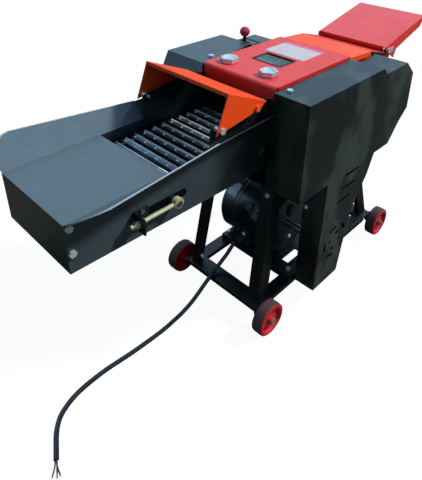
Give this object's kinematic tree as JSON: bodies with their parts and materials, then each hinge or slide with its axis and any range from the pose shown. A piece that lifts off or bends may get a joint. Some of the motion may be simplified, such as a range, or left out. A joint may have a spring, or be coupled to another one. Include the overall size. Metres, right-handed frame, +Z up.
{
  "type": "chaff cutter",
  "caption": "Wheeled fodder chopper with a flared feed tray, slat conveyor and feed rollers, a belt-driven knife rotor under a red cover, and a hinged discharge deflector.",
  "frame": {"origin": "on the ground, at the middle of the machine's box without its cord", "axes": "+X with the feed, from tray to deflector; +Y towards the gear side; +Z up"},
  "size_m": [1.4568, 0.492, 0.747],
  "materials": {
    "anthracite_paint": "satin",
    "red_paint": "satin",
    "orange_paint": "satin",
    "black_paint": "satin",
    "red_wheel": "gloss",
    "red_knob": "gloss",
    "zinc": "zinc plated",
    "yellow_zinc": "yellow zinc plated",
    "blade_steel": "ground",
    "bare_steel": "oiled",
    "dark_iron": "as cast",
    "bronze": "turned",
    "belt_rubber": "matte",
    "cord_rubber": "matte",
    "core_plastic": "satin",
    "black_plastic": "satin",
    "window_glass": "clear"
  },
  "bodies": {
    "chassis": {"front_crossmember": "black_paint", "rear_crossmember": "black_paint", "side_rails": "black_paint", "front_legs": "black_paint", "rear_legs": "black_paint", "axle_bolts": "zinc", "motor_base": "black_paint", "motor_housing": "black_paint", "motor_shields": "black_paint", "motor_stator": "bare_steel", "terminal_box": "black_plastic", "v_belts": "belt_rubber", "rotor_bearings": "dark_iron", "ledger_knife": "blade_steel", "rotor_trough": "black_paint", "side_plate_near": "anthracite_paint", "side_plate_far": "anthracite_paint", "top_cover": "red_paint", "window_pane": "window_glass", "rear_cover": "orange_paint", "chute": "red_paint", "pivot_bolts": "zinc", "feed_hood": "orange_paint", "tray_front": "anthracite_paint", "tray_side_near": "anthracite_paint", "tray_side_far": "anthracite_paint", "conveyor_bed": "anthracite_paint", "slat_chains": "bare_steel", "conveyor_slats": "bare_steel", "tension_brackets": "anthracite_paint", "tension_rods": "yellow_zinc", "roller_bushes": "bronze", "pressure_springs": "bare_steel", "adjusting_bolts": "zinc", "belt_guard": "anthracite_paint", "gear_covers": "anthracite_paint", "fasteners": "zinc", "mains_cord": "cord_rubber", "cord_cores": "core_plastic"},
    "rotor": {"rotor_shaft": "bare_steel", "rotor_spiders": "dark_iron", "knives": "blade_steel", "rotor_pulley": "dark_iron"},
    "motor_rotor": {"motor_shaft": "bare_steel", "motor_fan": "black_plastic", "motor_pulley": "dark_iron"},
    "reduction": {"reduction_gear": "dark_iron"},
    "feed_roller_low": {"lower_roller": "dark_iron"},
    "yoke": {"pressure_yoke": "black_paint"},
    "feed_roller_high": {"upper_roller": "dark_iron"},
    "conveyor_front": {"conveyor_front_shaft": "bare_steel"},
    "conveyor_rear": {"conveyor_rear_shaft": "bare_steel"},
    "collar": {"shift_collar": "bare_steel"},
    "lever": {"shift_lever": "black_paint", "lever_knob": "red_knob"},
    "spout": {"deflector": "red_paint"},
    "front_near_wheel": {"wheel_front_near": "red_wheel"},
    "front_far_wheel": {"wheel_front_far": "red_wheel"},
    "rear_near_wheel": {"wheel_rear_near": "red_wheel"},
    "rear_far_wheel": {"wheel_rear_far": "red_wheel"}
  },
  "joints": [
    {"name": "rotor_spin", "type": "hinge", "parent": "chassis", "child": "rotor", "pos_m": [0.111, -0.02, 0.56], "axis": [0, 1, 0], "continuous": true},
    {"name": "motor_spin", "type": "hinge", "parent": "chassis", "child": "motor_rotor", "pos_m": [0.065, -0.02, 0.187], "axis": [0, 1, 0], "continuous": true},
    {"name": "reduction_spin", "type": "hinge", "parent": "chassis", "child": "reduction", "pos_m": [0.00464, 0.14, 0.54125], "axis": [0, 1, 0], "continuous": true},
    {"name": "lower_roller_spin", "type": "hinge", "parent": "chassis", "child": "feed_roller_low", "pos_m": [-0.058, -0.02, 0.552], "axis": [0, 1, 0], "continuous": true},
    {"name": "roller_float", "type": "slide", "parent": "chassis", "child": "yoke", "axis": [0, 0, 1], "range_m": [0, 0.01], "stiffness_N_per_m": 8000, "springref_m": -0.004, "deforming": ["pressure_springs"]},
    {"name": "upper_roller_spin", "type": "hinge", "parent": "yoke", "child": "feed_roller_high", "pos_m": [-0.058, -0.02, 0.636], "axis": [0, 1, 0], "continuous": true},
    {"name": "conveyor_rear_spin", "type": "hinge", "parent": "chassis", "child": "conveyor_rear", "pos_m": [-0.148, -0.02, 0.55], "axis": [0, 1, 0], "continuous": true},
    {"name": "conveyor_front_spin", "type": "hinge", "parent": "chassis", "child": "conveyor_front", "pos_m": [-0.432, -0.02, 0.55], "axis": [0, 1, 0], "continuous": true},
    {"name": "deflector_tilt", "type": "hinge", "parent": "chassis", "child": "spout", "pos_m": [0.446, -0.02, 0.668], "axis": [0, -1, 0], "range_deg": [-50, 15]},
    {"name": "shift_tilt", "type": "hinge", "parent": "chassis", "child": "lever", "pos_m": [0.126, 0.171, 0.66], "axis": [1, 0, 0], "range_deg": [-3, 3]},
    {"name": "collar_slide", "type": "slide", "parent": "rotor", "child": "collar", "axis": [0, 1, 0], "range_m": [-0.0053, 0.0053]},
    {"name": "front_near_wheel_spin", "type": "hinge", "parent": "chassis", "child": "front_near_wheel", "pos_m": [-0.164, -0.209, 0.05], "axis": [0, 1, 0], "continuous": true},
    {"name": "front_far_wheel_spin", "type": "hinge", "parent": "chassis", "child": "front_far_wheel", "pos_m": [-0.164, 0.141, 0.05], "axis": [0, 1, 0], "continuous": true},
    {"name": "rear_near_wheel_spin", "type": "hinge", "parent": "chassis", "child": "rear_near_wheel", "pos_m": [0.447, -0.209, 0.05], "axis": [0, 1, 0], "continuous": true},
    {"name": "rear_far_wheel_spin", "type": "hinge", "parent": "chassis", "child": "rear_far_wheel", "pos_m": [0.447, 0.141, 0.05], "axis": [0, 1, 0], "continuous": true}
  ],
  "couplings": [
    {"joint": "motor_spin", "follows": "rotor_spin", "ratio": 2.2619},
    {"joint": "reduction_spin", "follows": "rotor_spin", "ratio": -0.2},
    {"joint": "lower_roller_spin", "follows": "rotor_spin", "ratio": -0.12857},
    {"joint": "upper_roller_spin", "follows": "rotor_spin", "ratio": 0.12857},
    {"joint": "conveyor_rear_spin", "follows": "rotor_spin", "ratio": -0.12857},
    {"joint": "conveyor_front_spin", "follows": "rotor_spin", "ratio": -0.12857},
    {"joint": "collar_slide", "follows": "shift_tilt", "m_per_rad": 0.1}
  ]
}
